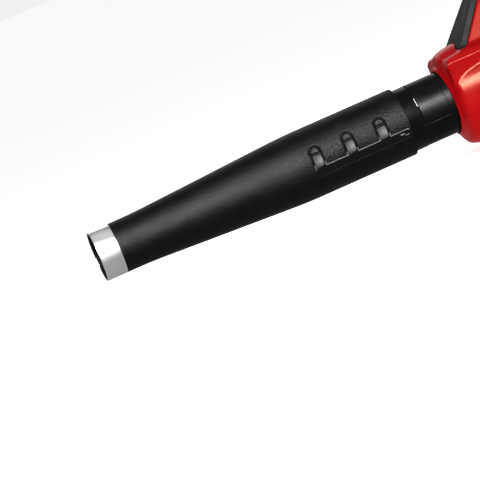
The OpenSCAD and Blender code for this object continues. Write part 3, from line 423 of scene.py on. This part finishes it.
def nozzle_relief(x, el):
    """Height of the lock channel's relief, the painted shade on its floor, and the painted highlight on its
    upward-facing edges, ramps and dashes.
    """
    t = NOZZLE_R * np.radians(el)
    t_high = NOZZLE_R * math.radians(FINGER_EL)
    t_low = NOZZLE_R * math.radians(LUG_EL)
    band = NOZZLE_R * math.radians(BAND_HALF_EL)
    d = comb_distance(x, t, FINGER_HALF, band, COMB_END)
    # A lip round the channel and a shallow moat outside it, both stronger above the band
    lip = np.exp(-((d - 0.55) / 0.5) ** 2)
    upper = ease_step(t, t_low + band - 3, t_low + band)
    height = (0.15 + 0.4 * upper) * lip - (0.15 + 0.35 * upper) * np.exp(-((d - 1.9) / 0.45) ** 2)
    inside = 1 - ease_step(d, -0.75, 0.0)
    # The floor gets deeper towards the band's lower side
    depth = (t_low + band - t) / (2 * band)
    floor = -0.75 - 0.7 * np.clip(depth, 0, 1)
    # Painted shade: the channel's floor is painted darker, as the shade that falls in the recess.
    shade_paint = ease_step(-d, -0.3, 0.3)
    # Painted highlight: the lip's upward-facing side above the band is painted light, as the lamp's glint on
    # it.
    upward = ease_step(t, t_low + band - 2.0, t_low + band)
    upward = upward * (1 - ease_step(t, t_low + band + 4, t_low + band + 7))
    wear_and_glint = 0.9 * lip * upward
    # Each finger has a pad at its head, a click ridge below that, and a ramp that rises towards the band
    for i in range(FINGERS):
        along = x - (LUG_X + i * PITCH)
        across = np.abs(along)
        below = t_high - t
        column = 1 - ease_step(across, FINGER_HALF - 1.7, FINGER_HALF - 0.9)
        head = np.hypot(across, np.minimum(below, 0))
        pad = (1 - ease_step(head, FINGER_HALF - 2.2, FINGER_HALF - 1.4)) * (1 - ease_step(below, 1.4, 2.2))
        ramp_top = 5.8
        ramp_end = t_high - t_low - band - 0.5 - 0.18 * along
        on_ramp = column * ease_step(below, ramp_top - 0.6, ramp_top) \
            * (1 - ease_step(below, ramp_end - 1.0, ramp_end))
        share = np.clip((below - ramp_top) / (ramp_end - ramp_top), 0, 1)
        click = column * np.exp(-((below - 3.8) / 0.5) ** 2)
        floor = floor + pad * 1.05 + on_ramp * (1.5 * share - 0.65) + click * 0.8
        raised = np.maximum(pad, np.maximum(on_ramp, click))
        # The raised pads, ramps and ridges lose the painted shade and get a painted highlight, brighter on
        # the ramp's right side, where the lamp glints.
        shade_paint = shade_paint * (1 - raised)
        bright = 0.55 + 0.45 * ease_step(along, -4.0, 3.0)
        glow = on_ramp * bright * (0.3 + 0.7 * np.sin(math.pi * share) ** 2)
        wear_and_glint = wear_and_glint + 0.5 * glow + 0.14 * click + 0.05 * pad
    for dash_back, dash_t, strength in DASHES:
        dash = strength * (1 - ease_step(np.abs(x - (COMB_END - dash_back)), 2.6, 3.4)) \
            * (1 - ease_step(np.abs(t - t_low - dash_t), 0.5, 1.1))
        floor = floor + 0.9 * dash
        # The dashes lose the painted shade and get a painted highlight.
        shade_paint = shade_paint * (1 - dash)
        wear_and_glint = wear_and_glint + 0.8 * dash
    return height * (1 - inside) + floor * inside, shade_paint, np.clip(wear_and_glint, 0, 1)


def make_nozzle():
    """Outer nozzle tube: one closed skin, with a fine mesh where the comb is and a coarse one elsewhere."""
    dense_x = np.arange(LUG_X - 11.5, NOZZLE_REAR - 1.4, 0.42)
    coarse_x = np.concatenate([[TIP_X + RING_LEN + 0.25], np.arange(TIP_X + RING_LEN + 5, LUG_X - 12, 5.0)])
    rear = [(NOZZLE_REAR - 0.8, NOZZLE_R), (NOZZLE_REAR - 0.35, NOZZLE_R - 0.12),
            (NOZZLE_REAR - 0.08, NOZZLE_R - 0.45), (NOZZLE_REAR, NOZZLE_R - 0.9)]
    outer_x = np.concatenate([coarse_x, dense_x])
    outer_r = taper(outer_x - TIP_X)
    dense_el = np.arange(-28.0, 34.0, 0.52)
    rest_el = np.linspace(34.0, 332.0, 100)[:-1]
    el = np.concatenate([dense_el, rest_el])
    x, e = np.meshgrid(outer_x, el, indexing="ij")
    relief, shade_paint, wear_and_glint = nozzle_relief(x, e)
    fade = ease_step(x, LUG_X - 12, LUG_X - 11) * (1 - ease_step(x, NOZZLE_REAR - 2, NOZZLE_REAR - 1.6))
    r = outer_r[:, None] + relief * fade
    rows = [np.stack([x, r], -1)]
    rows.append(np.repeat(np.array(rear)[:, None, :], len(el), 1))
    inner_x = np.linspace(NOZZLE_REAR, LUG_X - 11, BORE_STEPS)
    inner_grid, inner_e = np.meshgrid(inner_x, el, indexing="ij")
    from_groove = comb_distance(inner_grid, NOZZLE_R * np.radians(inner_e), GROOVE_HALF, GROOVE_HALF,
                                NOZZLE_REAR + 9)
    bore = BORE_R + GROOVE_DEPTH * ease_step(-from_groove, -0.4, 0.4)
    bore[0] = np.maximum(bore[0], BORE_R + 0.5)
    rows.append(np.stack([np.repeat(inner_x[:, None], len(el), 1), bore], -1))
    front_x = np.linspace(TIP_X + 250, TIP_X + 0.9, 40)
    front_r = np.minimum(taper(front_x - TIP_X) - TUBE_WALL, BORE_R)
    rows.append(np.repeat(np.stack([front_x, front_r], -1)[:, None, :], len(el), 1))
    nose_r = TIP_R - 0.85
    nose = np.array([[TIP_X + 0.9, nose_r], [TIP_X + RING_LEN + 0.2, nose_r]])
    rows.append(np.repeat(nose[:, None, :], len(el), 1))
    section = np.concatenate(rows)
    angle = np.radians(el)[None, :]
    pts = wrap_round(section[..., 0], section[..., 1], angle)
    total = len(section)
    faces = grid_faces(total, len(el), True, True)
    nozzle = new_object("blow_nozzle", place(pts).reshape(-1, 3), faces, nozzle_with_painted_light(), "nozzle", 50)
    # Layers of painted shade on the channel's floor and of painted highlight on its edges, ramps and dashes
    for name, values in (("channel", shade_paint), ("wear_and_glint", wear_and_glint)):
        whole = np.zeros((total, len(el)))
        whole[:len(outer_x)] = values * fade
        add_layer(nozzle, name, whole)
    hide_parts("nozzle_tube")


def add_layer(obj, name, values):
    layer = obj.data.attributes.new(name, "FLOAT", "POINT")
    layer.data.foreach_set("value", np.asarray(values, float).reshape(-1))


def blend_in(mat, layer, colour, roughness):
    """Mixes another colour and gloss into a finish where the mesh's layer says so."""
    shader = mat.node_tree.nodes["Principled BSDF"]
    amount = new_node(mat, "ShaderNodeAttribute", attribute_name=layer).outputs["Fac"]
    tint = new_node(mat, "ShaderNodeMix", data_type="RGBA")
    sockets = [s for s in tint.inputs if s.type == "RGBA"]
    link(mat, amount, tint.inputs[0])
    link(mat, shader.inputs["Base Color"].links[0].from_socket, sockets[0])
    sockets[1].default_value = (*colour, 1)
    link(mat, [s for s in tint.outputs if s.type == "RGBA"][0], shader.inputs["Base Color"])
    gloss = new_node(mat, "ShaderNodeMix", data_type="FLOAT")
    floats = [s for s in gloss.inputs if s.type == "VALUE"]
    link(mat, amount, floats[0])
    link(mat, shader.inputs["Roughness"].links[0].from_socket, floats[1])
    floats[2].default_value = roughness
    link(mat, [s for s in gloss.outputs if s.type == "VALUE"][0], shader.inputs["Roughness"])


def nozzle_with_painted_light():
    """The nozzle's black grain, with painted shade on the lock channel's floor, matt and darker, and a
    painted highlight on its edges, ramps and dashes.
    """
    mat = FINISHES["tube_black"].copy()
    mat.name = "nozzle_black"
    # Painted shade on the channel's floor, then a painted highlight on its edges and ramps
    blend_in(mat, "channel", (0.0008, 0.0008, 0.0009), 0.95)
    blend_in(mat, "wear_and_glint", (0.42, 0.42, 0.43), 0.4)
    return mat


def make_ring():
    """Aluminium ring on the tip, turned from its outline."""
    lip = TIP_R - TUBE_WALL + 0.3
    outline = [(TIP_X + 0.35, lip), (TIP_X + 0.1, lip + 0.25), (TIP_X, lip + 0.7), (TIP_X, TIP_R - 0.9),
               (TIP_X + 0.12, TIP_R - 0.45), (TIP_X + 0.45, TIP_R - 0.1), (TIP_X + 1.0, TIP_R),
               (TIP_X + RING_LEN - 0.5, TIP_R), (TIP_X + RING_LEN - 0.1, TIP_R - 0.15),
               (TIP_X + RING_LEN, TIP_R - 0.4), (TIP_X + RING_LEN, TIP_R - 0.8), (TIP_X + 0.8, TIP_R - 0.8),
               (TIP_X + 0.8, lip)]
    angle = np.arange(RING_STEPS) * 2 * math.pi / RING_STEPS
    line = np.array(outline)[:, None, :]
    pts = np.stack([line[..., 0] + 0 * angle, line[..., 1] * np.cos(angle), line[..., 1] * np.sin(angle)], -1)
    faces = [face[::-1] for face in grid_faces(len(outline), RING_STEPS, True, True)]
    ring = new_object("tip_ring", place(pts).reshape(-1, 3), faces, FINISHES["ring_aluminium"], "nozzle", 40)
    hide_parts("nozzle_ring")


# ---------- connector ----------
SEAM_X = NOZZLE_REAR + 18
SPIGOT_REAR = 46.0
SPIGOT_R = 42.6
FLANGE_RISE = 7.5
FLANGE_LEN = 8.0
FLOW_R = 38.5           # inside of the connector
SOCKET_R = 40.6         # inside of its front, round the inner tube's plug
SOCKET_LEN = 28.0
PANEL_EL = -16.0
RIB_EL = -22


def make_connector():
    """Outlet spigot with the seam at its front, its raised panel and two small ribs below the panel."""
    x = np.concatenate([np.arange(SEAM_X + 0.3, SEAM_X + 3.2, 0.22), np.arange(SEAM_X + 3.6, -7.5, 1.4),
                        np.arange(-7.0, -5.0, 0.25), np.linspace(-4.5, SPIGOT_REAR - 8.1, 10)])
    el = np.concatenate([np.arange(-30.0, 0.0, 0.4), np.linspace(0.0, 180.0, 120),
                         np.arange(180.6, 212.0, 0.6), np.linspace(212.6, 329.4, 60)])
    gx, ge = np.meshgrid(x, el, indexing="ij")
    inside_panel = ease_step(ge, PANEL_EL, PANEL_EL + 0.7) * (1 - ease_step(ge, 195.3, 196.0))
    inside_panel = inside_panel * ease_step(gx, SEAM_X + 1.9, SEAM_X + 2.3) * (1 - ease_step(gx, -6.4, -6.0))
    below = (1 - ease_step(ge, PANEL_EL - 1.0, PANEL_EL)) * (1 - ease_step(ge, 150, 151)) \
        + ease_step(ge, 196.5, 197.5)
    r = SPIGOT_R + 0.5 * inside_panel
    seam = (1 - ease_step(gx, SEAM_X + 1.4, SEAM_X + 1.9)) * (1 - below)
    seam = seam + np.exp(-((gx - SEAM_X - 4.2) / 0.6) ** 2) * below
    edge = np.exp(-((ge - PANEL_EL + 0.8) / 0.7) ** 2) * ease_step(gx, SEAM_X + 1.5, SEAM_X + 2.0)
    edge = edge * (1 - ease_step(gx, -7.0, -6.4))
    r = r - 1.1 * seam - 0.5 * edge
    t = SPIGOT_R * np.radians(ge)
    for rib_x in (-27.0, -23.0):
        r = r + 0.45 * (1 - ease_step(np.abs(gx - rib_x), 0.9, 1.6)) \
            * (1 - ease_step(np.abs(t - SPIGOT_R * math.radians(RIB_EL)), 2.4, 3.2))
    flange = [(SPIGOT_REAR - FLANGE_LEN, SPIGOT_R), (SPIGOT_REAR - FLANGE_LEN, SPIGOT_R + FLANGE_RISE),
              (SPIGOT_REAR, SPIGOT_R + FLANGE_RISE), (SPIGOT_REAR, FLOW_R), (SEAM_X + SOCKET_LEN, FLOW_R),
              (SEAM_X + SOCKET_LEN, SOCKET_R), (SEAM_X + 0.3, SOCKET_R)]
    tail = np.repeat(np.array(flange)[:, None, :], len(el), 1)
    section = np.concatenate([np.stack([gx, r], -1), tail])
    angle = np.radians(el)[None, :]
    pts = wrap_round(section[..., 0], section[..., 1], angle)
    faces = grid_faces(len(section), len(el), True, True)
    spigot = new_object("connector_spigot", place(pts).reshape(-1, 3), faces, connector_with_painted_shade(),
                        "blower", 50)
    # Painted shade: the seam groove and the panel's lower edge are painted darker and matt, as the shade in
    # them.
    add_layer(spigot, "channel", np.concatenate([np.clip(seam + edge, 0, 1), 0 * tail[..., 0]]))
    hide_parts("outlet_spigot")
    # Adds the painted highlight in the seam.
    make_painted_seam_glint()


def connector_with_painted_shade():
    """The connector's black, with painted shade in its seam and along the panel's lower edge, matt and
    darker.
    """
    mat = FINISHES["connector_black"].copy()
    mat.name = "connector_seamed"
    blend_in(mat, "channel", (0.0006, 0.0006, 0.0007), 0.95)
    return mat


def make_painted_seam_glint():
    """A slim rounded bar of pale nylon set in the seam and following the tube: a painted highlight that
    stands in for the lamp's glint in the seam.
    """
    steps, sides = 28, 12
    el = np.radians(np.linspace(19.0, 38.0, steps))
    along = np.linspace(-1, 1, steps)
    half = 0.62 * np.sqrt(np.clip(1 - along ** 4, 0.02, 1))
    ring = np.arange(sides) * 2 * math.pi / sides
    x = SEAM_X + 1.0 + half[:, None] * np.cos(ring)
    r = SPIGOT_R - 0.35 + 0.5 * half[:, None] * np.sin(ring)
    pts = wrap_round(x, r, el[:, None])
    faces = grid_faces(steps, sides, False, True)
    faces += [list(range(sides)), [(steps - 1) * sides + k for k in range(sides)][::-1]]
    # The bar is a painted highlight, placed where the lamp glints in the seam.
    catch = new_object("painted_seam_glint", place(pts).reshape(-1, 3), faces, FINISHES["pale_nylon"], "blower", 60)


# ---------- moulded pieces with softened edges ----------
# Lengths in this section are metres, except where they are multiplied by MM.
WELD_GAP = 0.00002
EVEN_PASSES = 4         # plain smoothing steps that take out the remesh's stairs
EVEN_STEP = 0.5
SMOOTH_STEP = 0.6       # each of these steps is followed by one back, so that the shape doesn't shrink
BACK_STEP = -0.57
SPLIT_HELD = 0.0004     # points this near to the split between the halves don't move
SPLIT_BLEND = 0.003
BEVEL_ANGLE = 32        # degrees


def soften(node, body, slot, voxel, passes, keep_split=False):
    """A moulded version of a CAD solid: a remeshed copy of its shape with rounded edges."""
    source = frame["nodes"][node]
    obj = bpy.data.objects.new(node + "_moulded", source.data.copy())
    bpy.context.scene.collection.objects.link(obj)
    weld = obj.modifiers.new("weld", "WELD")
    weld.merge_threshold = WELD_GAP
    remesh = obj.modifiers.new("remesh", "REMESH")
    remesh.mode = "VOXEL"
    remesh.voxel_size = voxel
    bpy.context.view_layer.update()
    evaluated = obj.evaluated_get(bpy.context.evaluated_depsgraph_get())
    mesh = bpy.data.meshes.new_from_object(evaluated)
    obj.modifiers.clear()
    count = len(mesh.vertices)
    pts = np.zeros(count * 3)
    mesh.vertices.foreach_get("co", pts)
    pts = pts.reshape(-1, 3)
    edges = np.zeros(len(mesh.edges) * 2, int)
    mesh.edges.foreach_get("vertices", edges)
    edges = edges.reshape(-1, 2)
    degree = np.bincount(edges.ravel(), minlength=count)[:, None]
    weight = np.ones((count, 1))
    if keep_split:
        weight[:, 0] = np.clip((np.abs(pts[:, 1]) - SPLIT_HELD) / SPLIT_BLEND, 0.0, 1.0)
    for step in range(-EVEN_PASSES, passes * 2):
        total = np.zeros_like(pts)
        for axis in range(3):
            total[:, axis] = np.bincount(edges[:, 0], pts[edges[:, 1], axis], count) \
                + np.bincount(edges[:, 1], pts[edges[:, 0], axis], count)
        factor = EVEN_STEP if step < 0 else SMOOTH_STEP if step % 2 == 0 else BACK_STEP
        pts = pts + factor * weight * (total / degree - pts)
    mesh.vertices.foreach_set("co", pts.ravel())
    mesh.materials.clear()
    mesh.materials.append(FINISHES[slot])
    mesh.polygons.foreach_set("use_smooth", [True] * len(mesh.polygons))
    mesh.update()
    obj.data = mesh
    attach(obj, body)
    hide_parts(node)


def pressed_spring(node, body):
    """A copy of a CAD spring in bright steel that rides on a body, with a mesh of its own."""
    spring = bpy.data.objects.new(node + "_coil", frame["nodes"][node].data.copy())
    bpy.context.scene.collection.objects.link(spring)
    spring.data.materials.clear()
    spring.data.materials.append(FINISHES["bright_steel"])
    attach(spring, body)
    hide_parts(node)
    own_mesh(spring)


def round_node(node, width):
    """Welds a CAD node's corners and rounds its sharp edges with modifiers only."""
    obj = frame["nodes"][node]
    weld = obj.modifiers.new("weld", "WELD")
    weld.merge_threshold = WELD_GAP
    bevel = obj.modifiers.new("bevel", "BEVEL")
    bevel.width = width * MM
    bevel.segments = 2
    bevel.limit_method = "ANGLE"
    bevel.angle_limit = math.radians(BEVEL_ANGLE)
    bevel.use_clamp_overlap = True
    bevel.harden_normals = False


def dress_nodes():
    """Gives each CAD node the finish of its material slot."""
    slot_of = {part["node"]: part["material_slot"] for part in frame["record"]["subparts"]}
    for name, obj in frame["nodes"].items():
        obj.data.materials.clear()
        obj.data.materials.append(FINISHES[slot_of[name]])


# ---------- the whole scene ----------
HOUSING_VOXEL = 0.0010
HOUSING_PASSES = 9
# Node, body, material slot, voxel size and smoothing passes of each smaller moulded piece
MOULDED = (
    ("handle_cover", "blower", "grip_rubber", 0.0008, 8),
    ("battery_case_upper", "battery", "trim_black", 0.0009, 5),
    ("battery_case_lower", "battery", "trim_black", 0.0009, 5),
    ("foot_front", "blower", "grip_rubber", 0.0008, 8),
    ("foot_rear", "blower", "grip_rubber", 0.0008, 8),
    ("trigger", "trigger", "control_red", 0.0004, 5),
    ("speed_dial", "speed_dial", "trim_black", 0.0004, 3),
    ("battery_button", "battery_button", "control_red", 0.0004, 4),
    ("turbo_button", "turbo_button", "control_red", 0.0003, 4),
)
# CAD nodes whose sharp edges are rounded, and the width of the rounding
ROUNDED = (
    ("intake_grille", 0.35), ("fan_rotor", 0.3), ("stator", 0.3), ("inner_tube", 0.25), ("spinner", 0.3),
    ("tail_cone", 0.3), ("gauge_button", 0.25), ("gauge_lights", 0.15), ("housing_screws", 0.2),
    ("battery_screws", 0.2), ("terminal_block", 0.4), ("motor_can", 0.3), ("heat_sink", 0.3),
    ("battery_catch", 0.3), ("inlet_bell", 0.3),
)

make_camera()
make_studio()
dress_nodes()
make_nozzle()
make_ring()
make_connector()
for half in ("housing_left", "housing_right"):
    soften(half, "blower", "housing_red", HOUSING_VOXEL, HOUSING_PASSES, keep_split=True)
for piece in MOULDED:
    soften(*piece)
pressed_spring("turbo_spring", "blower")
pressed_spring("battery_button_spring", "battery")
pressed_spring("trigger_spring", "blower")
for node, width in ROUNDED:
    round_node(node, width)
